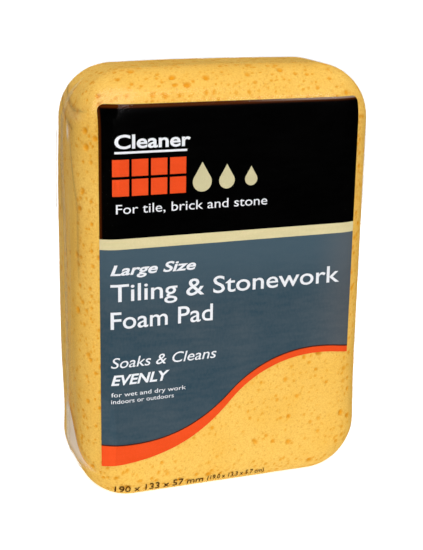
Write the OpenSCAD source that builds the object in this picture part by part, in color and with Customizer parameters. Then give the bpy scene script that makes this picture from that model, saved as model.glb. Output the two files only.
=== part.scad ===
// Foam washing block in a clear printed overwrap, standing on one of its short ends.
// X runs across the printed face, Y from the printed face to the back, Z up from the floor.
// The printed face looks along -Y. Sizes are in millimetres.

/* [Foam block] */
// Width of the foam across the printed face
block_width = 133.35; // [110:0.05:160]
// Depth of the foam from the printed face to the back
block_depth = 57.15; // [45:0.05:70]
// Height of the foam, standing on a short end
block_height = 190.5; // [160:0.5:220]
// Radius of the four corners of the outline, seen from the front
corner_radius = 24; // [18:0.5:32]
// Radius that rolls the front and back faces into the narrow sides
edge_radius = 16.8; // [8:0.1:17.5]

/* [Overwrap] */
// Thickness of the clear film around the foam
film_thickness = 0.15; // [0.1:0.01:0.3]
// Thickness of one layer of ink
ink_thickness = 0.1; // [0.06:0.01:0.15]
// Width of the melted seal down the middle of each narrow side
seal_width = 5; // [3:0.5:10]
// How far each melted seal stands off the film
seal_thickness = 0.4; // [0.2:0.05:0.8]
// How far the seals follow the corners of the block, in degrees
seal_wrap_angle = 55; // [20:5:80]
// Height of the lapped strip across the back
lap_height = 10; // [6:0.5:16]
// Distance from each end of the lapped strip to the narrow side
lap_margin = 8.7; // [6:0.1:20]

/* [Printed panel] */
// Clear strip between the left side of the block and the print
left_margin = 7.7; // [5:0.1:16]
// Clear strip between the right side of the block and the print
right_margin = 9.7; // [5:0.1:16]
// Clear strip between the top of the block and the print
top_margin = 12.5; // [9:0.5:25]
// Height of the black header
header_height = 55.5; // [45:0.5:65]
// Radius of the two top corners of the header
header_corner = 3; // [1:0.5:6]
// Height of the pale rule under the header
rule_height = 4.5; // [2:0.25:8]
// Height of the coloured band's foot above the floor, at its left end
band_foot = 20.6; // [16:0.2:26]
// Height of the coloured band itself at its left end, where it is tallest
band_height = 9.8; // [6:0.2:14]
// How far the foot of the band climbs from its left end to its crest
band_climb = 42.6; // [30:0.2:50]
// Height of the coloured band at its crest, where it is thin
crest_height = 3; // [1.5:0.1:5]

/* [Printed marks] */
// Distance from the left edge of the print to the lettering and marks
indent = 5; // [3:0.5:10]
// Side of one small tile in the tile mark
tile_side = 7; // [4:0.25:8]
// Joint between two tiles in the tile mark
tile_joint = 1.2; // [0.6:0.1:2]
// Height of the tile mark above the pale rule
tile_height = 18; // [14:0.5:22]
// Radius of the largest water drop
drop_radius = 4.2; // [2.5:0.1:5]
// Distance from the left side of the block to the size line
size_line_margin = 15.7; // [14:0.1:25]
// Lowest point of the size line above the floor
size_line_foot = 4.6; // [3.5:0.1:8]
// Height of the numbers in the size line
size_line_height = 2.6; // [1.5:0.1:4]

/* [Hidden] */
$fn = 96;
ink_outside = film_thickness + ink_thickness;
block_middle = film_thickness + block_height / 2;
panel_left = left_margin - block_width / 2;
panel_right = block_width / 2 - right_margin;
panel_width = panel_right - panel_left;
header_top = film_thickness + block_height - top_margin;
header_bottom = header_top - header_height;
slate_top = header_bottom - rule_height;
marks_left = panel_left + indent;
tile_bottom = header_bottom + tile_height;
tile_pitch = tile_side + tile_joint;
drops_left = marks_left + 4 * tile_pitch + 6;
drop_pitch = 2 * drop_radius + 2.6;
curve_steps = 16;

// Control points of the band's two edges. Each is [share of the panel's width, share of the climb],
// and each edge is two cubic curves that meet near the middle.
foot_low = [[0, 0], [0.24, 0.01], [0.38, 0.19], [0.51, 0.59]];
foot_high = [[0.51, 0.59], [0.61, 0.89], [0.78, 1.09], [1, 0.955]];
top_low = [[0, 0], [0.1, -0.01], [0.3, -0.13], [0.5, 0.51]];
top_high = [[0.5, 0.51], [0.61, 0.88], [0.78, 1.1], [1, 0.94]];

// Rows of white lettering, drawn as one plain bar per word. Heights are shares of the area that a
// row is printed on, and widths are shares of the panel's width:
// [height of the foot, height of the capitals, [widths of the words]].
header_rows = [
    [0.665, 0.09, [0.285]],
    [0.18, 0.07, [0.078, 0.164, 0.138, 0.147]]
];
slate_rows = [
    [0.87, 0.048, [0.155, 0.147]],
    [0.74, 0.088, [0.276, 0.052, 0.483]],
    [0.605, 0.088, [0.207, 0.147]],
    [0.405, 0.052, [0.155, 0.034, 0.181]],
    [0.32, 0.05, [0.216]],
    [0.258, 0.02, [0.034, 0.103, 0.052, 0.095]],
    [0.22, 0.02, [0.069, 0.121]]
];
size_line_words = [9, 4, 9, 4, 7, 9];

// ---- shapes shared by the parts ----

// Outline of the block cut level with the floor, grown outwards by grow.
module level_section(grow) {
    w = block_width + 2 * grow;
    d = block_depth + 2 * grow;
    r = edge_radius + grow;
    square([w - 2 * r, d], center = true);
    square([w, d - 2 * r], center = true);
    for (x = [-1, 1])
        for (y = [-1, 1])
            translate([x * (w / 2 - r), y * (d / 2 - r)])
                circle(r);
}

// Half of a cut through the block's rim, from a corner's centre (x = 0) outwards.
module rim_section(grow) {
    reach = corner_radius + grow;
    d = block_depth + 2 * grow;
    r = edge_radius + grow;
    translate([0, -d / 2])
        square([reach - r, d]);
    translate([0, -d / 2 + r])
        square([reach, d - 2 * r]);
    intersection() {
        translate([0, -d / 2])
            square([reach, d]);
        for (y = [-1, 1])
            translate([reach - r, y * (d / 2 - r)])
                circle(r);
    }
}

// The whole block with its rolled edges, grown outwards by grow.
module rounded_block(grow) {
    span_x = block_width - 2 * corner_radius;
    span_z = block_height - 2 * corner_radius;
    translate([0, 0, block_middle]) {
        linear_extrude(height = span_z, center = true)
            level_section(grow);
        for (side = [0, 180])
            rotate([0, side, 0])
                translate([0, 0, span_z / 2])
                    rotate([0, -90, 0])
                        linear_extrude(height = span_x, center = true)
                            rim_section(grow);
        for (x = [0, 1])
            for (z = [0, 1])
                mirror([x, 0, 0])
                    mirror([0, 0, z])
                        translate([span_x / 2, 0, span_z / 2])
                            rotate([90, 0, 0])
                                rotate_extrude(angle = 90)
                                    rim_section(grow);
    }
}

// A thin layer that follows the block between two distances from the foam.
module layer(inner, outer) {
    difference() {
        rounded_block(outer);
        rounded_block(inner);
    }
}

// A layer over the front face only, trimmed to a flat outline drawn in X and Z.
module on_front(inner, outer) {
    intersection() {
        layer(inner, outer);
        rotate([90, 0, 0])
            linear_extrude(height = block_depth)
                children();
    }
}

// A point of a cubic curve, the whole curve as points, and a list without its last point.
function cubic(c, t) =
    pow(1 - t, 3) * c[0] + 3 * t * pow(1 - t, 2) * c[1]
    + 3 * t * t * (1 - t) * c[2] + pow(t, 3) * c[3];
function curve(c) = [for (i = [0:curve_steps]) cubic(c, i / curve_steps)];
function without_last(list) = [for (i = [0:len(list) - 2]) list[i]];

// Points of the band's edges, from shares of the panel's width and of the climb.
function placed(c, foot, climb) = [for (p = c) [panel_left + p[0] * panel_width, foot + p[1] * climb]];
function band_curve(low, high, foot, climb) =
    concat(without_last(curve(placed(low, foot, climb))), curve(placed(high, foot, climb)));
function reversed(list) = [for (i = [len(list) - 1:-1:0]) list[i]];

band_top = band_curve(top_low, top_high, band_foot + band_height, band_climb - band_height + crest_height);

// Start of word number i in a row, with the same gap after every word.
function word_start(words, i, gap) = i == 0 ? 0 : word_start(words, i - 1, gap) + words[i - 1] + gap;

// A row of plain bars, one for each word, with a gap set by the height of the letters.
module word_bars(left, foot, height, words) {
    for (i = [0:len(words) - 1])
        translate([left + word_start(words, i, 0.55 * height), foot])
            square([words[i], height]);
}

// All the rows that are printed on the area between two heights.
module rows_between(low, high, rows) {
    for (row = rows)
        word_bars(marks_left, low + row[0] * (high - low), row[1] * (high - low), row[2] * panel_width);
}

// A water drop of radius r with its tip straight above its centre.
module drop(r) {
    circle(r);
    polygon([[-0.8 * r, 0.6 * r], [0.8 * r, 0.6 * r], [0, 2 * r]]);
}

// One melted seal down the middle of the right-hand narrow side.
module end_seal() {
    reach = corner_radius + film_thickness;
    span_x = block_width - 2 * corner_radius;
    span_z = block_height - 2 * corner_radius;
    translate([0, 0, block_middle]) {
        translate([span_x / 2 + reach, -seal_width / 2, -span_z / 2])
            cube([seal_thickness, seal_width, span_z]);
        for (z = [0, 1])
            mirror([0, 0, z])
                translate([span_x / 2, 0, span_z / 2])
                    rotate([90, 0, 0])
                        rotate_extrude(angle = seal_wrap_angle)
                            translate([reach, -seal_width / 2])
                                square([seal_thickness, seal_width]);
    }
}

// ---- the parts ----

// The open-cell foam block itself.
module sponge_block() {
    color([0.98, 0.80, 0.41])
        rounded_block(0);
}

// The clear film shrunk tight around the foam on every side.
module film_wrap() {
    color([0.9, 0.93, 0.95, 0.3])
        layer(0, film_thickness);
}

// The melted seal on the left narrow side.
module left_end_seal() {
    color([0.85, 0.88, 0.9, 0.6])
        mirror([1, 0, 0])
            end_seal();
}

// The melted seal on the right narrow side.
module right_end_seal() {
    color([0.85, 0.88, 0.9, 0.6])
        end_seal();
}

// The strip across the back where the film laps over itself.
module back_lap_seam() {
    color([0.85, 0.88, 0.9, 0.6])
        mirror([0, 1, 0])
            on_front(film_thickness, ink_outside + ink_thickness)
                translate([lap_margin - block_width / 2, block_middle - lap_height / 2])
                    square([block_width - 2 * lap_margin, lap_height]);
}

// Black ink above the pale rule, with two rounded top corners.
module header_panel() {
    color([0.01, 0.01, 0.01])
        on_front(film_thickness, ink_outside) {
            translate([panel_left, header_bottom])
                square([panel_width, header_height - header_corner]);
            translate([panel_left + header_corner, header_bottom])
                square([panel_width - 2 * header_corner, header_height]);
            for (x = [panel_left + header_corner, panel_right - header_corner])
                translate([x, header_top - header_corner])
                    circle(header_corner);
        }
}

// The pale rule between the black and the slate ink.
module pale_rule() {
    color([0.86, 0.83, 0.63])
        on_front(film_thickness, ink_outside)
            translate([panel_left, slate_top])
                square([panel_width, rule_height]);
}

// Slate ink from the pale rule down to the coloured band.
module slate_panel() {
    color([0.27, 0.34, 0.41])
        on_front(film_thickness, ink_outside)
            polygon(concat(band_top, [[panel_right, slate_top], [panel_left, slate_top]]));
}

// The coloured band that sweeps up from left to right.
module orange_band() {
    color([0.94, 0.31, 0.14])
        on_front(film_thickness, ink_outside)
            polygon(concat(band_curve(foot_low, foot_high, band_foot, band_climb), reversed(band_top)));
}

// Two rows of four small tiles, overprinted on the header.
module tile_mark() {
    color([0.94, 0.31, 0.14])
        on_front(ink_outside, ink_outside + ink_thickness)
            for (column = [0:3])
                for (row = [0:1])
                    translate([marks_left + column * tile_pitch, tile_bottom + row * tile_pitch])
                        square(tile_side);
}

// Three water drops, each smaller than the last, overprinted on the header.
module drop_marks() {
    color([0.86, 0.83, 0.63])
        on_front(ink_outside, ink_outside + ink_thickness)
            for (i = [0:2])
                translate([drops_left + i * drop_pitch, tile_bottom + drop_radius])
                    drop(drop_radius - 0.7 * i);
}

// White lettering, overprinted on the header and the slate panel.
module white_lettering() {
    color([0.95, 0.95, 0.95])
        on_front(ink_outside, ink_outside + ink_thickness) {
            rows_between(header_bottom, header_top, header_rows);
            rows_between(band_foot + band_height, slate_top, slate_rows);
        }
}

// The size line, printed on the clear film low on the front.
module size_line() {
    color([0.35, 0.18, 0.08])
        on_front(film_thickness, ink_outside)
            word_bars(size_line_margin - block_width / 2, size_line_foot, size_line_height, size_line_words);
}

sponge_block();
film_wrap();
left_end_seal();
right_end_seal();
back_lap_seam();
header_panel();
pale_rule();
slate_panel();
orange_band();
tile_mark();
drop_marks();
white_lettering();
size_line();
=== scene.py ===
# %% [markdown]
# # A foam washing sponge in printed shrink film
#
# The object is a block of yellow open-cell foam, as big as a thick paperback, sealed in clear film
# that carries a printed panel. It stands on one of its short ends. Nothing in it moves.
# The measured solids come from the frame: they say where every piece is and how big it is.
# This lesson gives each of them the surface that the real thing has.

# %% Load the measured solids
import math

import bmesh
import bpy
import numpy as np
from mathutils import Matrix, Vector


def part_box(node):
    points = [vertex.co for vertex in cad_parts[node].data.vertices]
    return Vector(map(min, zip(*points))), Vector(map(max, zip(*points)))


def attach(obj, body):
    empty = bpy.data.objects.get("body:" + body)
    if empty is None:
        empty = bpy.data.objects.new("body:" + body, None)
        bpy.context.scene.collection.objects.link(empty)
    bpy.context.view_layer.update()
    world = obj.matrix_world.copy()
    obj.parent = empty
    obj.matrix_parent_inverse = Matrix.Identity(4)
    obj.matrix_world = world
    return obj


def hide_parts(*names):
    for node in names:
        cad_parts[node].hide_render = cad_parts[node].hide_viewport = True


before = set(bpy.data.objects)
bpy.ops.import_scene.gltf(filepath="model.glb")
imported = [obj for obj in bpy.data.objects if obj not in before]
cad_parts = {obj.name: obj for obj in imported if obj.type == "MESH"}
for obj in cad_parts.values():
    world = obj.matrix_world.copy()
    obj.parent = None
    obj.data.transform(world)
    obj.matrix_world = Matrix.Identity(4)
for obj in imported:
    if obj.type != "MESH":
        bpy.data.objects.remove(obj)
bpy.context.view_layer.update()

print("Solids in the frame:", ", ".join(sorted(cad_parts)))
MM = 0.001  # one millimetre, in metres
PER_METRE = 1000  # millimetres in a metre
print("Solids in the frame:", ", ".join(sorted(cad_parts)))

# %% [markdown]
# ## The shape of the block
#
# A pressed foam block has two kinds of rounding: the outline of its big face has generous corners,
# and that whole outline rolls into the sides with a smaller radius. Both the foam and the film follow
# this one shape, so it is worth having as a function: for any point, how far is it from the block,
# and which way is outwards? With that, any rough shell of points can be dropped onto the block.
# Everything below is worked out in millimetres and turned into metres when it becomes a mesh.

# %% Sizes of the block
foam_low, foam_high = (PER_METRE * np.array(corner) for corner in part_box("sponge_block"))
half = (foam_high - foam_low) / 2
middle = (foam_high + foam_low) / 2
CORNER = 24.0  # radius of the big face's corners
ROLL = 16.8  # radius of the roll from the big face into the sides
INK_TOP = 0.35  # how far the ink's upper side stands off the foam
TINY = 1e-9  # stands in for a length of 0 where something is divided by it
print("Half sizes of the foam:", half.round(2), "middle:", middle.round(2))


# %% Distance to the block
def block_distance(points):
    """Distance of each point from the foam, and the outward direction there.

    Seen from the front, the point is folded into one quarter and measured from the centre of the
    corner: that gives a distance to an outline that is ROLL smaller than the block's. Its depth is
    measured from the middle in the same way. The length of the two positive parts, less ROLL, is
    the distance; the two parts themselves, scaled to length 1, are the direction.
    """
    local = points - middle
    side = np.sign(local) + (local == 0)
    across = np.abs(local[:, 0]) - (half[0] - CORNER)
    up = np.abs(local[:, 2]) - (half[2] - CORNER)
    both = np.maximum(np.stack([across, up], 1), 0)
    reach = np.hypot(both[:, 0], both[:, 1])
    plan = reach + np.minimum(np.maximum(across, up), 0) - (CORNER - ROLL)
    deep = np.abs(local[:, 1]) - (half[1] - ROLL)
    round_x = np.where(reach > 0, both[:, 0] / np.maximum(reach, TINY), across >= up)
    round_z = np.where(reach > 0, both[:, 1] / np.maximum(reach, TINY), across < up)
    out_plan, out_deep = np.maximum(plan, 0), np.maximum(deep, 0)
    length = np.maximum(np.hypot(out_plan, out_deep), TINY)
    normal = np.stack([round_x * out_plan, out_deep, round_z * out_plan], 1) / length[:, None] * side
    return length + np.minimum(np.maximum(plan, deep), 0) - ROLL, normal


depth_of_middle = -block_distance(middle[None, :])[0][0]
print("The middle of the foam is", round(float(depth_of_middle), 2), "mm below its surface")


# %% Depth of the front
def front_depth(x, z, lift):
    """Y of the front surface above a point of its outline, lift millimetres off the foam.

    The distance to the edge of the outline says how far down the roll the point is, and a quarter
    circle of the roll's radius gives the depth there.
    """
    across = np.abs(x - middle[0]) - (half[0] - CORNER)
    up = np.abs(z - middle[2]) - (half[2] - CORNER)
    reach = np.hypot(np.maximum(across, 0), np.maximum(up, 0))
    plan = np.maximum(reach + np.minimum(np.maximum(across, up), 0) - (CORNER - ROLL), 0)
    radius = ROLL + lift
    return middle[1] - (half[1] - ROLL) - np.sqrt(np.maximum(radius**2 - plan**2, 0))


# %% [markdown]
# ## A closed shell with an even grid
#
# A sphere-like grid would crowd its points at two poles. A box has no poles: its six sides are plain
# grids that share their border points. So the shell starts as the surface of a lattice, and each
# axis is stretched so that the grid stays even over the flats and over the rolls.


# %% The shell of a lattice
def lattice_shell(counts):
    """Whole-number points on the surface of a lattice, and the quads between them.

    Each of the six sides is a grid of quads. Points that two sides share have the same whole
    numbers, so numbering every point by its place in the lattice joins the sides.
    """
    quads = []
    for axis in range(3):
        first, second = (axis + 1) % 3, (axis + 2) % 3
        i, j = np.meshgrid(np.arange(counts[first]), np.arange(counts[second]), indexing="ij")
        for at_end in (0, 1):
            ring = [(0, 0), (1, 0), (1, 1), (0, 1)] if at_end else [(0, 0), (0, 1), (1, 1), (1, 0)]
            corners = np.zeros((i.size, 4, 3), dtype=np.int64)
            corners[:, :, axis] = at_end * counts[axis]
            for corner, (a, b) in enumerate(ring):
                corners[:, corner, first] = i.ravel() + a
                corners[:, corner, second] = j.ravel() + b
            quads.append(corners)
    quads = np.concatenate(quads)
    strides = np.array([1, counts[0] + 1, (counts[0] + 1) * (counts[1] + 1)])
    keys, faces = np.unique((quads * strides).sum(2), return_inverse=True)
    points = np.stack([keys % strides[1], keys // strides[1] % (counts[1] + 1), keys // strides[2]], 1)
    return points, faces.reshape(-1, 4)


print("A lattice of 2 x 2 x 2 cells has", len(lattice_shell((2, 2, 2))[0]), "points on its surface")


# %% Drop the lattice onto the block
def even_over_roll(share, half_size):
    """Place on one axis for a share from 0 to 1, even along the flat and half of each roll.

    The axis is as long as the flat and an eighth of a circle at each end. On the circle the place
    grows with the sine of the angle.
    """
    flat = half_size - ROLL
    along = (2 * share - 1) * (flat + ROLL * math.pi / 4)
    beyond = np.clip(np.abs(along) - flat, 0, None)
    return np.sign(along) * (np.minimum(np.abs(along), flat) + ROLL * np.sin(beyond / ROLL))


def block_shell(spacing):
    """Points on the foam's surface, their outward directions, and the quads.

    spacing is the distance between neighbours in millimetres, one for all axes or one for each.
    """
    lengths = 2 * (half - ROLL + ROLL * math.pi / 4)
    counts = np.maximum(2, np.rint(lengths / spacing).astype(int))
    lattice, faces = lattice_shell(counts)
    rough = np.stack(
        [middle[k] + even_over_roll(lattice[:, k] / counts[k], half[k]) for k in range(3)], 1
    )
    distance, normal = block_distance(rough)
    return rough - distance[:, None] * normal, normal, faces


# %% Put points and faces into a mesh
def put_in_scene(name, data):
    """A new object in the scene that shows a mesh, a text, a lamp or a camera."""
    made = bpy.data.objects.new(name, data)
    bpy.context.scene.collection.objects.link(made)
    return made


def new_piece(name, points, faces, smooth=True, **layers):
    """A mesh object at the origin from points in millimetres, with one number per point in layers."""
    mesh = bpy.data.meshes.new(name)
    mesh.from_pydata((points * MM).tolist(), [], faces if isinstance(faces, list) else faces.tolist())
    for layer, values in layers.items():
        mesh.attributes.new(layer, "FLOAT", "POINT").data.foreach_set("value", values.astype(np.float32))
    mesh.polygons.foreach_set("use_smooth", np.full(len(mesh.polygons), smooth))
    mesh.update()
    piece = put_in_scene(name, mesh)
    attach(piece, "root")
    print(f"{name}: {len(points)} points, {len(faces)} faces")
    return piece


# %% [markdown]
# ## The foam
#
# Open-cell foam is a mass of bubbles. Where the knife or the mould wall crosses a bubble, the
# surface has a round pit: wide where it went through the middle, a pinprick where it just touched.
# Scattering circles on the surface would miss that. Here the bubbles are placed in space, in three
# sizes, and the surface asks how deep it sits inside the nearest ones. The same number is kept on
# the mesh, so that the inside of a pit can be painted darker and more orange than the skin around
# it, as painted shade.


# %% Bubbles in space
PAD = 2  # cubes added round the block on every side
INSET = 0.1  # how near a bubble's centre may come to its cube's walls, as a share of the cube
FEW_LARGE = 2.2  # the power that makes large bubbles rarer than small ones


def bubble_pits(points, cell, smallest, largest, filled, seed):
    """How far inside a bubble each point is, from 0 at its wall to 1 at its centre, and its radius.

    Space is cut into cubes with sides of length cell. Each cube holds one bubble at a random place,
    and only the share called filled are kept. A point looks at its own cube and the 26 around it,
    and keeps the largest value of 1 - (distance / radius)^2.
    """
    rng = np.random.default_rng(seed)
    low = foam_low - PAD * cell
    counts = np.ceil((foam_high - foam_low) / cell).astype(int) + 2 * PAD
    centres = rng.random((*counts, 3)) * (1 - 2 * INSET) + INSET
    radii = smallest + (largest - smallest) * rng.random(tuple(counts)) ** FEW_LARGE
    radii *= rng.random(tuple(counts)) < filled
    home = np.floor((points - low) / cell).astype(int)
    inside, radius_there = np.zeros(len(points)), np.zeros(len(points))
    for step in np.ndindex(3, 3, 3):
        cube = tuple((home + np.array(step) - 1).T)
        centre = low + (np.stack(cube, 1) + centres[cube]) * cell
        radius = radii[cube]
        gap = np.linalg.norm(points - centre, axis=1)
        share = np.where(radius > 0, 1 - (gap / np.maximum(radius, TINY)) ** 2, 0)
        deeper = share > inside
        inside = np.where(deeper, share, inside)
        radius_there = np.where(deeper, radius, radius_there)
    return inside, radius_there


# %% Soft waves and humps
def soft_waves(points, length, seed, waves=14):
    """A smooth random number from about -1 to 1 at each point.

    It is a sum of cosines that run in random directions, each with a wavelength near length. Such
    a sum seldom passes 1.4 times the root of their number, so it is divided by that.
    """
    rng = np.random.default_rng(seed)
    directions = rng.normal(size=(waves, 3))
    directions /= np.linalg.norm(directions, axis=1, keepdims=True)
    turns = points @ (directions * (2 * math.pi / length) * rng.uniform(0.7, 1.4, (waves, 1))).T
    return np.cos(turns + rng.uniform(0, 2 * math.pi, waves)).sum(1) / math.sqrt(waves) / 1.4


def bump(value, centre, width):
    """A smooth hump: 1 at the centre, fading with the square of the distance in widths."""
    return np.exp(-(((value - centre) / width) ** 2))


# Each hump: the axis and the direction that its side faces, the axis it lies along, its centre and
# its width, and how far it stands out. The top swells in its middle, the left side is pulled in
# towards both of its ends, and the right side is fuller near the foot.
HUMPS = [
    (2, 1, 0, 5, 45, 0.55),
    (2, 1, 0, -46, 16, -0.35),
    (0, -1, 2, 168, 20, -0.8),
    (0, -1, 2, 34, 20, -1.0),
    (0, 1, 2, 24, 16, 0.7),
]


def squeeze(points, normal):
    """How far tight film pushes the foam in or lets it swell out, in millimetres.

    It is the sum of the humps. Each counts as far as the surface faces the way of its side.
    """
    shift = np.zeros(len(points))
    for facing, sign, along, centre, width, height in HUMPS:
        shift += height * np.clip(sign * normal[:, facing], 0, 1) * bump(points[:, along], centre, width)
    return shift


print("Humps that the film squeezes the foam into:", len(HUMPS))

# %% Make the foam block
FOAM_SPACING = 0.62  # between neighbouring points, in millimetres
FLAT_DOWN = 0.999  # a surface that faces down by more than this stands on the floor
UNEVEN, UNEVEN_LENGTH = 0.05, 9  # height and length of the waves that keep it from being flat
# Cube size, smallest and largest radius, share of cubes filled and seed for each size of bubble,
# then how deep its pits go for each millimetre of radius, and how strongly painted shade darkens
# them.
BUBBLES = [
    (5.4, 0.95, 1.8, 0.85, 11, 0.5, 1.2),
    (3.1, 0.6, 1.15, 0.9, 12, 0.5, 1.1),
    (2.0, 0.4, 0.7, 0.6, 13, 0.3, 0.5),
]
foam_points, foam_normal, foam_faces = block_shell(FOAM_SPACING)
pit_depth, pit_shade = np.zeros(len(foam_points)), np.zeros(len(foam_points))
for cell, smallest, largest, filled, seed, depth, shade_strength in BUBBLES:
    inside, radius = bubble_pits(foam_points, cell, smallest, largest, filled, seed)
    pit_depth += radius * inside * depth
    # Painted shade: the deeper a point sits inside a bubble, the darker and more orange its colour is
    # painted.
    pit_shade += shade_strength * inside
pit_shade = np.minimum(pit_shade, 1)
unevenness = UNEVEN * soft_waves(foam_points, UNEVEN_LENGTH, seed=14)
swell = squeeze(foam_points, foam_normal)
standing = -foam_normal[:, 2] > FLAT_DOWN
foam_shift = np.where(standing, 0, swell + unevenness - pit_depth)
foam = new_piece(
    "foam_block", foam_points + foam_shift[:, None] * foam_normal, foam_faces, pit=pit_shade
)
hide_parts("sponge_block")
pitted_share = round(float((pit_shade > 0.1).mean()), 3)
print("Deepest pit in mm:", round(float(pit_depth.max()), 2), "pitted share:", pitted_share)

# %% [markdown]
# ## The shrink film
#
# The film is a sleeve of thin clear plastic, closed by a lap across the back and melted shut down
# the middle of each narrow side, then shrunk with hot air. It is tight over the faces, and where
# the melted seals end it has spare width, which gathers into small folds towards the corners.
# Cloth simulation would need the film's cut shape, which is not known, so the folds are drawn as
# sharp ridges on the same shell as the foam, a fraction of a millimetre outside it.


# %% Folds of the film
def ridge(distance, width):
    """A sharp-crested fold: 1 on the crest, falling away as 1 / (1 + (distance / width)^2)."""
    return 1 / (1 + (distance / width) ** 2)


def window(value, low, high, soft):
    """1 between low and high, fading to 0 over the length soft beyond each of them."""
    return np.clip((value - low) / soft + 1, 0, 1) * np.clip((high - value) / soft + 1, 0, 1)


def fold(distance, span, lift=0.0, width=1.0, crease=0.0, fine=1.0, shift=0.0):
    """Lift and crease line of one fold, as a pair.

    distance is how far each point is from the crest, and span is 1 where the fold runs. The film
    rises by lift in a ridge of the given width. Its line of painted shade is a ridge too, as wide as
    fine says, and shift to one side of the crest.
    """
    return span * np.stack([lift * ridge(distance, width), crease * ridge(distance - shift, fine)])


def seal_bow(z):
    """How far back the melted seal bows at a height: 3 mm in a hump around 153 mm."""
    return 3.0 * bump(z, 153, 18)


print("A seal bows back by", round(float(seal_bow(140)), 2), "mm at a height of 140 mm")

# %% All the folds of a narrow side
SIDE_FACING = 1.6  # folds are at full strength where the film faces sideways by 1 / 1.6
RIGHT_STRENGTH, RIGHT_OFFSET = 0.8, 1.5  # how strong the right side's folds are, and their shift
TENT_TOP, TENT_SLOPE = 40, 1.05  # where the corner fold starts, and its run forward for each mm down
GLINT_PLACE, GLINT_SIZE = (-5.5, 164.5), (1.7, 3.0)  # depth and height of the small loose place


def film_folds(points, normal):
    """Folds on the two narrow sides: extra lift in millimetres, looseness, and crease lines.

    From the lower end of each seal a fold runs down towards the front corner, and behind it the
    film stands off and is painted whitish, a painted reflection. Above, two creases cross the side in
    shallow arcs. From them a long fold runs down along the front roll, and a thin one stands up along
    the back roll. Two low waves run beside the seal, and a thin line follows its bow. The lines of the
    creases are painted shade. A small place near the top stands off and gets a painted glint. The
    right side has the same folds, turned front to back and weaker.
    """
    y, z = points[:, 1], points[:, 2]
    side = np.clip(np.abs(normal[:, 0]) * SIDE_FACING, 0, 1)
    is_left = normal[:, 0] < 0
    y = np.where(is_left, y, RIGHT_OFFSET - y)
    drop = TENT_TOP - z
    edge = -y - TENT_SLOPE * drop
    stand_off_sheen = np.clip(-edge / 1.2, 0, 1) * window(drop, 3, 17, 7) * window(y, -30, 4, 5)
    upper_arc = z - (175.4 + 0.2 * (y + 5) + 0.01 * (y + 5) ** 2)
    lower_arc = z - (168.8 + 0.34 * (y + 5) + 0.01 * (y + 5) ** 2)
    upper_span = window(y, -16, 10, 6)
    long_fold = y + 19.5 - 9.5 * np.clip((z - 132) / 30, 0, 1) ** 1.5
    # Besides its lift, a fold may add a line of painted shade along its crease.
    lift, crease = (
        fold(edge, window(drop, 2, 18, 6), lift=0.25, width=1.0, crease=0.3, fine=0.7, shift=1.6)
        + fold(upper_arc, upper_span, lift=0.35, width=0.9, crease=1.0, fine=0.45)
        + fold(lower_arc, window(y, -9, 10, 6), lift=0.35, width=0.9, crease=1.0, fine=0.45)
        + fold(long_fold, window(z, 112, 158, 14), lift=0.4, width=1.1, crease=0.5, fine=0.8, shift=1.6)
        + fold(y - 17, window(z, 128, 160, 6), lift=0.8, width=0.8, crease=0.9, fine=0.8)
        + fold(y + 8 - 2.5 * np.sin(z / 23), window(z, 55, 125, 20), lift=0.3, width=1.3)
        + fold(y - 7 - 2.0 * np.sin(z / 31 + 1), window(z, 60, 120, 20), lift=0.2, width=1.5)
        + fold(y - 4 - seal_bow(z), window(z, 132, 166, 8), crease=0.7, fine=0.8)
    )
    glint = bump(y, GLINT_PLACE[0], GLINT_SIZE[0]) * bump(z, GLINT_PLACE[1], GLINT_SIZE[1])
    # Painted reflection and painted glint: where a whitish colour is mixed into the film, behind the
    # corner fold, at the small place near the top and along the upper arc.
    loose = 1.2 * stand_off_sheen + 1.2 * glint + 0.15 * bump(upper_arc, -2.5, 1.6) * upper_span
    strength = side * np.where(is_left, 1.0, RIGHT_STRENGTH)
    return (lift + 0.3 * stand_off_sheen + 0.5 * glint) * strength, loose * strength, crease * strength


# %% Make the film
FILM_SPACING = np.array([2.2, 0.65, 0.7])
FILM_GAP = 0.45  # how far the film's outside is from the foam where it is tight
MOST_PULL = -0.9  # the film follows the foam inwards no further than this
RIPPLE, RIPPLE_LENGTH, RIPPLE_STRETCH = 0.03, 16, [1, 1, 0.35]
UNDER_GAP = 0.15  # the same gap on the underside, where the block presses on it
film_points, film_normal, film_faces = block_shell(FILM_SPACING)
fold_lift, loose, crease = film_folds(film_points, film_normal)
print("Highest fold in mm:", round(float(fold_lift.max()), 2))
film_lift = FILM_GAP + np.maximum(squeeze(film_points, film_normal), MOST_PULL)
film_lift += RIPPLE * soft_waves(film_points * RIPPLE_STRETCH, RIPPLE_LENGTH, seed=21) + fold_lift
under = np.clip(-film_normal[:, 2], 0, 1) ** 6
film_lift = film_lift * (1 - under) + UNDER_GAP * under
film = new_piece(
    "shrink_film",
    film_points + film_lift[:, None] * film_normal,
    film_faces,
    loose=loose,
    crease=crease,
)
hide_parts("film_wrap")

# %% [markdown]
# ## The melted seals
#
# A hot wire melts the two layers of film together and cuts them in one stroke. What stays is a
# narrow bead with a thin, slightly wavy lip on either side, lying against the block. It is a
# profile carried along the outline of the block, so it is worked out as a grid: one parameter runs
# along the seal, the other round its cross-section.


# %% Carry a profile along the outline
def outline_path(share, reach_angle):
    """Centre line of a seal on the right narrow side, and the outward direction there.

    A share from 0 to 1 runs up a straight length and a part of a corner circle at each end.
    """
    straight = half[2] - CORNER
    turn = math.radians(reach_angle)
    along = (2 * share - 1) * (straight + CORNER * turn)
    angle = np.clip((np.abs(along) - straight) / CORNER, 0, None)
    still, upwards = np.zeros_like(angle), np.sign(along)
    out = np.stack([np.cos(angle), still, upwards * np.sin(angle)], 1)
    centre = np.stack([still + half[0] - CORNER, still, upwards * np.minimum(np.abs(along), straight)], 1)
    return middle + centre + CORNER * out, out


SEAL_REACH = 52  # degrees of each corner circle that a seal runs round
print("A seal starts in mm at:", outline_path(np.zeros(1), SEAL_REACH)[0][0].round(1))

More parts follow.
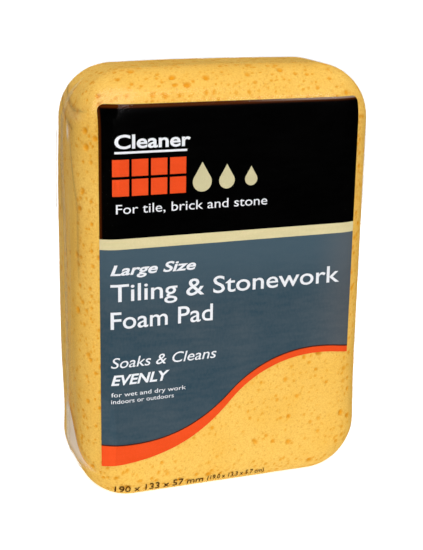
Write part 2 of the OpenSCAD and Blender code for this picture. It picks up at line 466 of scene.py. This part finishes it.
# %% The cross-section of a seal
RINGS, ACROSS = 240, 9  # cross-sections along a seal, and points from lip to lip
TAPER, TIP = 0.03, 0.02  # share of the length that each end tapers over, and what is left at the tip
WAVES = 40  # places along a seal where its lips wander to a new random width
LIP_REACH, LIP_WANDER = 2.3, 0.35  # how far a lip reaches sideways, and how much that changes
LIP_THICK, EDGE_THICK, LIP_CRIMP = 0.12, 0.06, 0.06  # of the lip, of its edge, and where it crimps
BEAD_HEIGHT, BEAD_WIDTH = 0.42, 0.28  # in millimetres, and as a share of the lip's reach
SEAL_GAP, SEAL_SWAY = 0.42, 0.3  # how far its underside is from the foam, and how far it sways


def seal_strip(hand, seed):
    """Points and quads of one seal: a bead with two thin lips, closed at both of its ends.

    hand is 1 on the right side and -1 on the left. Each cross-section is a ring of points: along
    the top from lip to lip, where the bead is a hump, and back along the flat underside.
    """
    share = np.linspace(0, 1, RINGS)
    centre, out = outline_path(share, SEAL_REACH)
    taper = np.clip(np.minimum(share, 1 - share) / TAPER, TIP, 1)
    rng = np.random.default_rng(seed)
    wave = np.interp(share, np.linspace(0, 1, WAVES), rng.uniform(-1, 1, WAVES))
    lip = np.linspace(-1, 1, ACROSS)
    width = (LIP_REACH + LIP_WANDER * wave) * taper
    bead = BEAD_HEIGHT * bump(lip, 0, BEAD_WIDTH)
    top = LIP_THICK + bead[None, :] + LIP_CRIMP * np.abs(wave)[:, None]
    top[:, [0, -1]] = EDGE_THICK
    top *= taper[:, None]
    base = np.full(top.shape, SEAL_GAP)
    bow = SEAL_SWAY * wave + seal_bow(centre[:, 2])
    y = np.concatenate([lip, lip[::-1]])[None, :] * width[:, None] + bow[:, None]
    lift = np.concatenate([base + top, base], 1)
    points = centre[:, None, :] + lift[:, :, None] * out[:, None, :]
    points[:, :, 1] += y
    points[:, :, 0] = middle[0] + hand * (points[:, :, 0] - middle[0])
    size = 2 * ACROSS
    i, j = np.meshgrid(np.arange(RINGS - 1), np.arange(size), indexing="ij")
    a, b = i * size + j, i * size + (j + 1) % size
    quads = np.stack([a, b, b + size, a + size], 2).reshape(-1, 4)
    if hand < 0:
        quads = quads[:, ::-1]
    ends = [list(range(size)), list(range((RINGS - 1) * size, RINGS * size))]
    ends[0 if hand > 0 else 1].reverse()
    return points.reshape(-1, 3), quads.tolist() + ends


# %% Make the two seals
seals = []
for seal_name, node, hand in (("seal_left", "left_end_seal", -1), ("seal_right", "right_end_seal", 1)):
    points, faces = seal_strip(hand, seed=30 + hand)
    seal = new_piece(seal_name, points, faces)
    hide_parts(node)
    seals.append(seal)

# %% [markdown]
# ## Lettering
#
# Printed words are flat and follow the film. Blender's own font gives the letters as outlines,
# which become a mesh first. Then every point is placed on the front of the block: its height on the
# page is its height on the block, and the depth comes from the block's shape. The words are plain
# ones that say what such a block is for. Each row is stretched to the length that it has on the
# panel, so that the rows of print have the right weight.


# %% Turn words into a mesh
LETTER_HALF = 0.01  # half the thickness of a letter on the page


def mesh_parts(mesh):
    """The points of a mesh as an array, and its faces as lists of point numbers."""
    points = np.empty(3 * len(mesh.vertices))
    mesh.vertices.foreach_get("co", points)
    return points.reshape(-1, 3), [list(polygon.vertices) for polygon in mesh.polygons]


def word_mesh(words, slant=0.0, weight=0.0):
    """Points in the page's plane and faces of a row of letters, one unit tall for a capital."""
    text = bpy.data.curves.new("row", "FONT")
    text.body, text.shear, text.offset = words, slant, weight
    text.resolution_u = 4
    text.extrude = LETTER_HALF
    carrier = put_in_scene("row", text)
    points, faces = mesh_parts(carrier.to_mesh())
    carrier.to_mesh_clear()
    bpy.data.objects.remove(carrier)
    bpy.data.curves.remove(text)
    return points, faces


CAPITAL = word_mesh("H")[0][:, 1].max()
print("A capital is", round(float(CAPITAL), 3), "units tall")


# %% Cut letters into strips
def cut_into_strips(points, faces, planes):
    """The same faces cut where they cross each plane, given as (axis, place).

    A large flat face can't follow a curve. Cut into strips a millimetre wide, it can.
    """
    mesh = bpy.data.meshes.new("strips")
    mesh.from_pydata(points.tolist(), [], faces)
    work = bmesh.new()
    work.from_mesh(mesh)
    for axis, place in planes:
        geometry = work.verts[:] + work.edges[:] + work.faces[:]
        direction = Vector([float(axis == k) for k in range(3)])
        bmesh.ops.bisect_plane(work, geom=geometry, plane_co=direction * place, plane_no=direction)
    work.to_mesh(mesh)
    work.free()
    cut_points, cut_faces = mesh_parts(mesh)
    bpy.data.meshes.remove(mesh)
    return cut_points, cut_faces


# The front bends away at the sides, and the last row also meets the turn of the lower left corner.
ON_SIDE_ROLLS = [(0, hand * place) for hand in (-1, 1) for place in np.arange(50, 57)]
ON_LOWER_CORNER = [(0, place) for place in np.arange(-49, -41)]
ROLL_CUTS = 0.5  # distance between the cuts where a row goes round the lower roll
print("Cuts across each row at the sides:", len(ON_SIDE_ROLLS))


# %% Lay rows of print on the front
INK_STEP = 0.05  # how far the upper side of a letter stands above its underside


def bar_mesh():
    """A box one unit wide and high, as thick as a letter, for a line under a word."""
    corners = np.array(list(np.ndindex(2, 2, 2)), dtype=float)
    corners[:, 2] = (2 * corners[:, 2] - 1) * LETTER_HALF
    faces = [[0, 1, 3, 2], [4, 6, 7, 5], [0, 4, 5, 1], [2, 3, 7, 6], [0, 2, 6, 4], [1, 5, 7, 3]]
    return corners, faces


def printed_rows(rows, lift, roll_from=None):
    """All rows as one list of points and faces, laid on the front of the block.

    A row is (words, left, right, foot, height, slant, weight), and a row with no words is a bar.
    The letters' own thickness becomes a tiny step above the ink. Below roll_from, height on the
    page is carried round the lower roll as an arc, so that letters keep their size there.
    """
    all_points, all_faces, count = [], [], 0
    for words, left, right, foot, height, slant, weight in rows:
        points, faces = word_mesh(words, slant, weight) if words else bar_mesh()
        low, high = points.min(0), points.max(0)
        points[:, 0] = left + (points[:, 0] - low[0]) / (high[0] - low[0]) * (right - left)
        points[:, 1] = foot + points[:, 1] / (CAPITAL if words else 1.0) * height
        planes = list(ON_SIDE_ROLLS)
        if roll_from is not None:
            bottom, top = foot - height / 2, foot + 1.3 * height
            planes += [(1, place) for place in np.arange(bottom, top, ROLL_CUTS)]
            planes += ON_LOWER_CORNER
        points, faces = cut_into_strips(points, faces, planes)
        x, z = points[:, 0], points[:, 1]
        if roll_from is not None:
            angle = np.clip((roll_from - z) / ROLL, 0, math.pi / 2)
            z = np.where(z < roll_from, roll_from - ROLL * np.sin(angle), z)
        step = np.where(points[:, 2] > 0, INK_STEP, 0.0)
        all_points.append(np.stack([x, front_depth(x, z, lift + step), z], 1))
        all_faces += [[index + count for index in face] for face in faces]
        count += len(points)
    return np.concatenate(all_points), all_faces


# %% Print the white rows
WHITE_LIFT, SIZE_LIFT = INK_TOP - 0.06, INK_TOP - 0.11  # undersides of the letters, off the foam
# Words, left and right end, foot and height of a capital in millimetres, slant, and added weight.
white_rows = [
    ("Cleaner", -53.0, -20.5, 160.4, 5.4, 0.0, 0.022),
    (None, -53.0, -22.0, 158.2, 0.9, 0.0, 0.0),
    ("For tile, brick and stone", -52.5, 14.5, 133.3, 3.9, 0.0, 0.0),
    ("Large Size", -55.0, -17.5, 107.2, 4.2, 0.25, 0.024),
    ("Tiling & Stonework", -55.0, 50.5, 95.7, 7.4, 0.0, 0.007),
    ("Foam Pad", -55.0, -9.5, 83.6, 7.4, 0.0, 0.007),
    ("Soaks & Cleans", -55.0, -7.5, 66.1, 4.6, 0.22, 0.004),
    ("EVENLY", -55.0, -29.0, 58.4, 4.3, 0.25, 0.028),
    ("for wet and dry work", -55.0, -21.5, 53.0, 1.9, 0.0, 0.0),
    ("indoors or outdoors", -55.0, -27.0, 49.9, 1.9, 0.0, 0.0),
]
lettering = new_piece("white_rows", *printed_rows(white_rows, WHITE_LIFT), smooth=False)
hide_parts("white_lettering")

# %% Print the size line
lower_roll = foam_low[2] + ROLL
size_rows = [
    ("190 x 133 x 57 mm", -52.8, -11.2, 3.6, 5.4, -0.2, 0.0),
    ("(19.0 x 13.3 x 5.7 cm)", -9.5, 18.3, 4.4, 3.9, -0.2, 0.0),
]
points, faces = printed_rows(size_rows, SIZE_LIFT, roll_from=lower_roll)
size_print = new_piece("size_print", points, faces, smooth=False)
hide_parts("size_line")

# %% [markdown]
# ## The dark line above the orange
#
# Where two inks meet, the printer lets them overlap by a hair, so that no gap shows if the film
# stretches. Slate over orange gives a thin brown line along the top of the band. It is a narrow
# ribbon along the same curve: two cubic curves joined in the middle of the panel.

# %% A ribbon along the top of the band
band_low, band_high = (PER_METRE * np.array(corner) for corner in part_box("orange_band"))
RIBBON_THICK = 0.04
# Control points of the two cubics, across and up, as shares of the band's width and its climb.
TOP_OF_BAND = [
    [(0, 0), (0.1, -0.01), (0.3, -0.13), (0.5, 0.51)],
    [(0.5, 0.51), (0.61, 0.88), (0.78, 1.1), (1, 0.94)],
]


def cubic_curve(controls, share):
    """Points of a cubic: each control point weighed by its term of ((1 - t) + t)^3."""
    t, controls = share[:, None], np.array(controls)
    weights = [(1 - t) ** 3, 3 * t * (1 - t) ** 2, 3 * t**2 * (1 - t), t**3]
    return sum(weight * control for weight, control in zip(weights, controls))


def band_line(width, lift, start, climb, steps=90):
    """A flat ribbon width wide, lift off the foam, along the top of the band.

    start is the height of the curve's foot, climb what a share of 1 adds to it. The ribbon has two
    layers of two points at each step, so it is a closed bar.
    """
    share = np.linspace(0, 1, steps)
    parts = [cubic_curve(part, share) for part in TOP_OF_BAND]
    line = np.concatenate([parts[0], parts[1][1:]])
    x = band_low[0] + line[:, 0] * (band_high[0] - band_low[0])
    z = start + line[:, 1] * climb
    around = [(0, 0.0), (width, 0.0), (width, RIBBON_THICK), (0, RIBBON_THICK)]
    points = np.stack([
        np.stack([x, front_depth(x, z + up, lift + out), z + up], 1) for up, out in around
    ], 1)
    rings = len(line)
    i, j = np.meshgrid(np.arange(rings - 1), np.arange(4), indexing="ij")
    a, b = i * 4 + j, i * 4 + (j + 1) % 4
    quads = np.stack([a, a + 4, b + 4, b], 2).reshape(-1, 4).tolist()
    last = 4 * (rings - 1)
    return points.reshape(-1, 3), quads + [[0, 1, 2, 3], [last + 3, last + 2, last + 1, last]]


points, faces = band_line(width=0.55, lift=0.29, start=30.4, climb=35.8)
overprint = new_piece("overprint_line", points, faces)

# %% [markdown]
# ## Writing finishes as sums
#
# A material is a small program made of nodes. Written out link by link it is hard to read, so one
# class stands for a node's output, and adding or multiplying two of them adds the Math node that
# does it. Every other node comes from one method that takes its type, its settings and its inputs.


# %% A wrapper for sockets
class Wire:
    """One output of a finish's nodes. Arithmetic on wires adds Math nodes."""

    def __init__(self, finish, socket):
        self.finish, self.socket = finish, socket

    def math(self, operation, *values):
        """A Math node with the operation and the values, which are wires or numbers."""
        return self.finish.node("ShaderNodeMath", {"operation": operation}, dict(enumerate(values)))

    def __add__(self, other):
        return self.math("ADD", self, other)

    def __sub__(self, other):
        return self.math("SUBTRACT", self, other)

    def __rsub__(self, other):
        return self.math("SUBTRACT", other, self)

    def __mul__(self, other):
        return self.math("MULTIPLY", self, other)

    def __pow__(self, other):
        return self.math("POWER", self, other)

    __radd__, __rmul__ = __add__, __mul__

    def larger(self, other):
        return self.math("MAXIMUM", self, other)

    def between(self, low, high):
        """0 below low, 1 above high, smooth in between. Low may be the larger of the two."""
        if low > high:
            return 1 - self.between(high, low)
        settings = {"interpolation_type": "SMOOTHSTEP"}
        return self.finish.node("ShaderNodeMapRange", settings, {0: self, 1: low, 2: high})


# %% A material in the making
WHITE = (1.0, 1.0, 1.0)


class Finish:
    """A material being put together."""

    def __init__(self, name):
        self.material = bpy.data.materials.new(name)
        self.material.use_nodes = True
        self.tree = self.material.node_tree
        self.tree.nodes.clear()

    def node(self, kind, settings=None, inputs=None, output=0):
        """Add a node: its settings first, then a number, colour or wire for each input named."""
        made = self.tree.nodes.new(kind)
        for name, value in (settings or {}).items():
            setattr(made, name, value)
        for name, value in (inputs or {}).items():
            socket = made.inputs[name]
            if isinstance(value, Wire):
                self.tree.links.new(value.socket, socket)
            elif socket.type == "RGBA":
                socket.default_value = (*value, 1.0)
            else:
                socket.default_value = value
        return Wire(self, made.outputs[output])

    def place(self):
        """Where a point is, in metres from the origin."""
        return self.node("ShaderNodeTexCoord", output="Object")

    def along(self, axis):
        """How far along the axis X, Y or Z a point is, in metres."""
        return self.node("ShaderNodeSeparateXYZ", inputs={0: self.place()}, output=axis)

    def kept(self, layer):
        """A number that the mesh keeps for each of its points."""
        return self.node("ShaderNodeAttribute", {"attribute_name": layer}, output="Fac")

    def slant(self):
        """0 where the surface is looked at squarely, 1 where it is looked at along itself."""
        return self.node("ShaderNodeLayerWeight", inputs={"Blend": 0.5}, output="Facing")

    def noise(self, scale, detail=2.0, stretch=(1, 1, 1)):
        """Cloudy noise with scale lumps in a metre, stretched along an axis by a small factor."""
        where = self.node("ShaderNodeMapping", inputs={"Vector": self.place(), "Scale": stretch})
        inputs = {"Vector": where, "Scale": scale, "Detail": detail}
        return self.node("ShaderNodeTexNoise", inputs=inputs)

    def mix(self, share, first, second):
        """The first colour where share is 0 and the second where it is 1."""
        inputs = {0: share, 6: first, 7: second}
        return self.node("ShaderNodeMix", {"data_type": "RGBA"}, inputs, output=2)

    def bump(self, height, distance, strength):
        """Dents in the shading only, as deep as distance in metres where height goes from 0 to 1."""
        inputs = {"Height": height, "Distance": distance, "Strength": strength}
        return self.node("ShaderNodeBump", inputs=inputs, output="Normal")

    def principled(self, inputs):
        """Blender's all-round shader."""
        return self.node("ShaderNodeBsdfPrincipled", inputs=inputs)

    def matt(self, colour):
        """A shader that scatters light evenly."""
        return self.node("ShaderNodeBsdfDiffuse", inputs={"Color": colour})

    def clear(self):
        """A shader that lets everything through."""
        return self.node("ShaderNodeBsdfTransparent", inputs={"Color": WHITE})

    def blend(self, share, first, second):
        """The first shader where share is 0 and the second where it is 1."""
        return self.node("ShaderNodeMixShader", inputs={0: share, 1: first, 2: second})

    def finish_with(self, surface):
        """Give the material its surface, and return it."""
        output = self.tree.nodes.new("ShaderNodeOutputMaterial")
        self.tree.links.new(surface.socket, output.inputs["Surface"])
        print(f"{self.material.name}: {len(self.tree.nodes)} nodes")
        return self.material


def wear(piece, material):
    """Give a piece one material."""
    piece.data.materials.clear()
    piece.data.materials.append(material)


# %% [markdown]
# ## The foam's colour
#
# Dry polyester foam is a warm yellow with no gloss. The pits are painted darker and more orange
# towards their floors, as painted shade and a painted glow of the light that goes a little way into
# the foam. On top of the carved pits there are pinpricks too small to carve: a cell pattern dents
# them and darkens them with painted shade.

# %% Foam
paint = Finish("open_cell_foam")
pit = paint.kept("pit")
broad = paint.noise(45, 3).between(0.3, 0.7)
cell_inputs = {"Vector": paint.place(), "Scale": 520.0}
cells = paint.node("ShaderNodeTexVoronoi", inputs=cell_inputs, output="Distance")
pinprick = cells.between(0.30, 0.08)
grain = paint.noise(1500, 3).between(0.4, 0.6)
skin = paint.mix(broad, (0.95, 0.57, 0.105), (0.98, 0.62, 0.135))
grainy = paint.mix(grain * 0.5, skin, (0.84, 0.44, 0.07))
# Painted shade in the pinpricks.
pinprick_shaded = paint.mix(pinprick * 0.5, grainy, (0.74, 0.33, 0.04))
# Painted shade in the pits: darker and more orange towards their floors.
pitted = paint.mix((pit**0.55) * 0.95, pinprick_shaded, (0.83, 0.34, 0.008))
relief = paint.bump(grain * 0.5 - pinprick * 0.8, 0.3 * MM, 0.4)
foam_finish = paint.finish_with(paint.principled({
    "Base Color": pitted, "Roughness": 0.85, "Specular IOR Level": 0.1, "Normal": relief,
}))
wear(foam, foam_finish)

# %% [markdown]
# ## The film's gloss
#
# Clear film shows what is under it and adds a reflection, faint when looked at squarely and strong
# at a slant. So it is a mix of a shader that lets everything through and one that only mirrors, and
# the angle decides how much of each. Where the film stands off the foam, a whitish matt colour is
# mixed in as a painted reflection of the bright surroundings, and along a crease a dark brown one
# as painted shade. Film that is doubled and melted is a little milky all over.

# %% Film
MIRROR_SQUARE, MIRROR_SLANT = 0.045, 0.35  # share of light mirrored squarely, and added at a slant
paint = Finish("clear_film")
loose_film = paint.kept("loose")
shrink_lines = paint.bump(paint.noise(90, 2, (1.0, 1.0, 0.25)), 0.6 * MM, 0.25)
mirror = paint.node("ShaderNodeBsdfGlossy", inputs={
    "Color": WHITE, "Roughness": 0.25 - loose_film * 0.1, "Normal": shrink_lines,
})
tight = paint.blend((paint.slant() ** 5) * MIRROR_SLANT + MIRROR_SQUARE, paint.clear(), mirror)
# Painted reflection: where the film stands off, a whitish matt colour is mixed in.
with_sheen = paint.blend(loose_film * 0.52, tight, paint.matt((1.0, 0.93, 0.79)))
# Painted shade: along a crease, a dark brown matt colour is mixed in.
creased = paint.blend(paint.kept("crease") * 0.5, with_sheen, paint.matt((0.30, 0.20, 0.09)))
wear(film, paint.finish_with(creased))

# %% Seals and lap
paint = Finish("melted_film")
cloud = paint.noise(300, 2).between(0.35, 0.7)
crimp = paint.bump(paint.noise(300, 3), 0.3 * MM, 0.4)
milk = paint.principled({"Base Color": (0.78, 0.67, 0.44), "Roughness": 0.25, "Normal": crimp})
milkiness = 0.06 + cloud * 0.07 + (paint.slant() ** 5) * 0.25
seal_finish = paint.finish_with(paint.blend(milkiness, paint.clear(), milk))
for seal in seals:
    wear(seal, seal_finish)
wear(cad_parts["back_lap_seam"], seal_finish)

# %% [markdown]
# ## Printing ink
#
# The panel is printed with engraved rollers, which lay the ink down as very fine cells. Solid areas
# are never perfectly even: they have a faint cloud and a finer tooth. Along the black's top and
# left, where its edge rolls over the curve of the block, a thin brown rim is painted light, and a
# pale line at the right of its top is a painted highlight. The slate grows paler towards its top,
# and greyer towards the right, a painted reflection of the light that the film catches there.


# %% Two areas that change towards an edge
def header_edge_light(paint, tone):
    """A thin brown rim along the header's top and left, with a pale glint at the right of its top."""
    low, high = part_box("header_panel")
    height, across = paint.along("Z"), paint.along("X")
    near_top = height.between(high.z - 1.9 * MM, high.z - 0.8 * MM)
    near_left = across.between(low.x + 1.3 * MM, low.x + 0.3 * MM)
    # Painted light: the thin brown rim along the top and left, where the panel's edge rolls over the
    # block's curve.
    tone = paint.mix(near_top.larger(near_left), tone, (0.07, 0.014, 0.001))
    # Painted highlight: a pale line along the right of the top edge, where the film catches light.
    glint = height.between(high.z - 1.0 * MM, high.z - 0.5 * MM) * across.between(-5 * MM, 45 * MM)
    return paint.mix(glint * 0.7, tone, (0.40, 0.30, 0.24))


def slate_top_and_sheen(paint, tone):
    """A paler blue towards the slate panel's top, and a greyer tone over its last 22 mm on the right."""
    low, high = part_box("slate_panel")
    height, across = paint.along("Z"), paint.along("X")
    tone = paint.mix(height.between(low.z + 55 * MM, high.z) * 0.8, tone, (0.068, 0.112, 0.144))
    # Painted reflection: the greyer tone over the right end, where the film catches light.
    return paint.mix(across.between(high.x - 22 * MM, high.x) * 0.4, tone, (0.15, 0.14, 0.14))


# %% One recipe for every ink
def ink(name, light, dark, rough=0.38, edges=None):
    """An ink that wanders between two close tones. edges may change the tone towards its edges."""
    paint = Finish(name)
    cloud = paint.noise(35, 3).between(0.3, 0.7)
    streak = paint.noise(420, 2, (0.2, 1.0, 1.0)).between(0.35, 0.65)
    tooth = paint.noise(1000, 1, (1.0, 1.0, 0.6)).between(0.3, 0.7)
    tone = paint.mix(cloud * 0.45 + streak * 0.3 + tooth * 0.25, light, dark)
    if edges:
        tone = edges(paint, tone)
    surface = {"Base Color": tone, "Roughness": rough + tooth * 0.08, "Specular IOR Level": 0.0}
    surface["Normal"] = paint.bump(tooth, 0.03 * MM, 0.3)
    return paint.finish_with(paint.principled(surface))


BLACK, NEAR_BLACK = (0.0, 0.0, 0.0), (0.001, 0.001, 0.001)
inks = {
    "header_panel": ink("black_ink", BLACK, NEAR_BLACK, 0.5, edges=header_edge_light),
    "pale_rule": ink("pale_ink", (0.77, 0.67, 0.39), (0.68, 0.60, 0.33)),
    "slate_panel": ink("slate_ink", (0.068, 0.096, 0.116), (0.033, 0.067, 0.093), edges=slate_top_and_sheen),
    "orange_band": ink("orange_ink", (0.88, 0.092, 0.02), (0.82, 0.078, 0.014)),
    "tile_mark": ink("orange_mark", (0.86, 0.09, 0.02), (0.80, 0.075, 0.015)),
    "drop_marks": ink("pale_mark", (0.66, 0.60, 0.36), (0.60, 0.54, 0.32)),
}
for node, material in inks.items():
    wear(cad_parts[node], material)
wear(lettering, ink("white_ink", (0.88, 0.89, 0.92), (0.80, 0.81, 0.84)))
wear(overprint, ink("overprint_ink", (0.10, 0.025, 0.015), (0.06, 0.018, 0.012)))
wear(size_print, ink("brown_ink", (0.07, 0.022, 0.004), (0.10, 0.03, 0.006)))

# %% [markdown]
# ## Floor and backdrop
#
# The block stands on a plain pale floor, inside a white bowl that is turned over it, so that no
# horizon shows from low down. Only the camera sees the two: they cast no light and no reflection
# on the block, which keeps its colours clean.


# %% Floor and backdrop
def put_on_stage(name, points, faces, material):
    """A plain mesh that only the camera sees, in metres, which isn't part of the object."""
    mesh = bpy.data.meshes.new(name)
    mesh.from_pydata(points, [], faces)
    thing = put_in_scene(name, mesh)
    wear(thing, material)
    thing.visible_diffuse = thing.visible_glossy = thing.visible_shadow = False
    print(f"{name}: {len(points)} points, {len(faces)} faces")


paint = Finish("pale_floor")
floor_tone = paint.mix(paint.noise(6, 2).between(0.3, 0.7), (0.93, 0.93, 0.93), (0.95, 0.95, 0.95))
floor_finish = paint.finish_with(paint.principled({
    "Base Color": floor_tone, "Roughness": 0.9, "Specular IOR Level": 0.0,
    "Emission Color": WHITE, "Emission Strength": 0.95,
}))
REACH = 12  # how far the floor goes from the middle, in metres
floor_points = [(-REACH, -REACH, 0), (REACH, -REACH, 0), (REACH, REACH, 0), (-REACH, REACH, 0)]
put_on_stage("floor", floor_points, [(0, 1, 2, 3)], floor_finish)

BOWL, SECTORS, LEVELS, TOP_ANGLE = 11.5, 48, 12, 1.5  # radius in metres, grid, height in radians
turn, rise = np.meshgrid(
    np.linspace(0, 2 * math.pi, SECTORS + 1)[:-1], np.linspace(0, TOP_ANGLE, LEVELS + 1), indexing="ij"
)
bowl_points = np.stack([np.cos(turn) * np.cos(rise), np.sin(turn) * np.cos(rise), np.sin(rise)], 2)
i, j = np.meshgrid(np.arange(SECTORS), np.arange(LEVELS), indexing="ij")
a, b = i * (LEVELS + 1) + j, (i + 1) % SECTORS * (LEVELS + 1) + j
bowl_faces = np.stack([a, a + 1, b + 1, b], 2).reshape(-1, 4).tolist()
bowl_faces.append((np.arange(SECTORS) * (LEVELS + 1) + LEVELS).tolist())
paint = Finish("white_backdrop")
backdrop_tone = paint.mix(paint.noise(0.5, 1), WHITE, (0.99, 0.99, 0.99))
bowl_finish = paint.finish_with(paint.node("ShaderNodeEmission", inputs={"Color": backdrop_tone}))
put_on_stage("backdrop", (BOWL * bowl_points).reshape(-1, 3).tolist(), bowl_faces, bowl_finish)

# %% [markdown]
# ## Light
#
# Soft studio light: an even sky all round, one large panel above the viewer, and weak ones low at
# both sides, behind and underneath, so that no side is left dark. Black ink under clear film only
# looks black when the film has nothing bright to mirror there. So each panel has a say in what it
# does: most only light surfaces, one wide panel only makes the gloss on the upper rolls, and the
# sky is left out of reflections, as one would do in a studio with black cloth.


# %% Light
def panel_light(name, place, aim, size, power):
    """A soft lamp at a place, turned to face the point aim. size is its width and height."""
    lamp = bpy.data.lights.new(name, "AREA")
    lamp.shape, lamp.size, lamp.size_y, lamp.energy = "RECTANGLE", *size, power
    holder = put_in_scene(name, lamp)
    holder.location = place
    holder.rotation_euler = (Vector(aim) - Vector(place)).to_track_quat("-Z", "Y").to_euler()
    return holder


# Name, place, aim, size in metres, power in watts, lights surfaces, shows in gloss.
PANELS = [
    ("softbox", (-0.20, -0.76, 1.21), (0, 0, 0.15), (0.9, 1.1), 13.0, True, False),
    ("strip", (0.58, -1.07, 0.62), (0, 0, 0.17), (0.25, 0.10), 0.35, True, True),
    ("table_bounce", (0, -0.12, -0.30), (0, 0, 0), (0.6, 0.6), 1.6, True, False),
    ("fill_left", (-1.07, -0.90, 0.20), (0, 0, 0.10), (0.8, 0.8), 2.8, True, False),
    ("fill_right", (1.10, -0.85, 0.20), (0, 0, 0.10), (0.8, 0.8), 3.3, True, False),
    ("card_left", (-0.25, -0.22, -0.06), (-0.06, 0, 0.05), (0.2, 0.2), 0.08, True, False),
    ("back_fill", (-0.3, 1.35, 0.75), (0, 0, 0.10), (0.8, 0.8), 4.0, True, False),
    ("back_panel", (0.45, 1.35, -0.40), (0, 0, 0.10), (2.2, 0.9), 1.2, True, True),
    ("gloss_panel", (-0.62, -0.80, 1.26), (0, 0, 0.15), (2.4, 1.2), 16.0, False, True),
]
for name, place, aim, size, power, on_surfaces, in_gloss in PANELS:
    holder = panel_light(name, place, aim, size, power)
    holder.visible_diffuse, holder.visible_glossy = on_surfaces, in_gloss
    print(f"{name}: {power} W")

SKY_STRENGTH = 0.36
world = bpy.data.worlds.new("studio")
bpy.context.scene.world = world
world.use_nodes = True
sky = world.node_tree.nodes["Background"].inputs
sky["Color"].default_value, sky["Strength"].default_value = (*WHITE, 1.0), SKY_STRENGTH
world.cycles_visibility.glossy = False

# %% [markdown]
# ## Camera
#
# The viewer stands a little to the left of the printed front and looks down on it from half a
# metre away. The camera's three directions are worked out from its angles round the block, its
# height angle and a small tilt, and the lens is a moderate telephoto.

# %% Camera
AZIMUTH, ELEVATION, TILT = math.radians(-20.56), math.radians(16.21), math.radians(0.94)
DISTANCE = 0.542
level = math.cos(ELEVATION)
towards = Vector((math.sin(AZIMUTH) * level, -math.cos(AZIMUTH) * level, math.sin(ELEVATION)))
sideways = (-towards).cross(Vector((0, 0, 1))).normalized()
upwards = sideways.cross(-towards)
right = math.cos(TILT) * sideways + math.sin(TILT) * upwards
above = math.cos(TILT) * upwards - math.sin(TILT) * sideways
aim = Vector(middle * MM)

lens = bpy.data.cameras.new("camera")
lens.sensor_fit = "VERTICAL"
lens.sensor_height = 24.0
lens.lens = 52.03
lens.clip_start = 0.01
lens.shift_x, lens.shift_y = 0.0017, -0.0017
camera = put_in_scene("camera", lens)
turn = Matrix((right, above, towards)).transposed().to_4x4()
camera.matrix_world = Matrix.Translation(aim + towards * DISTANCE) @ turn
bpy.context.scene.camera = camera
bpy.context.scene.view_settings.view_transform = "Standard"
print("Camera in metres:", [round(c, 3) for c in camera.matrix_world.translation])
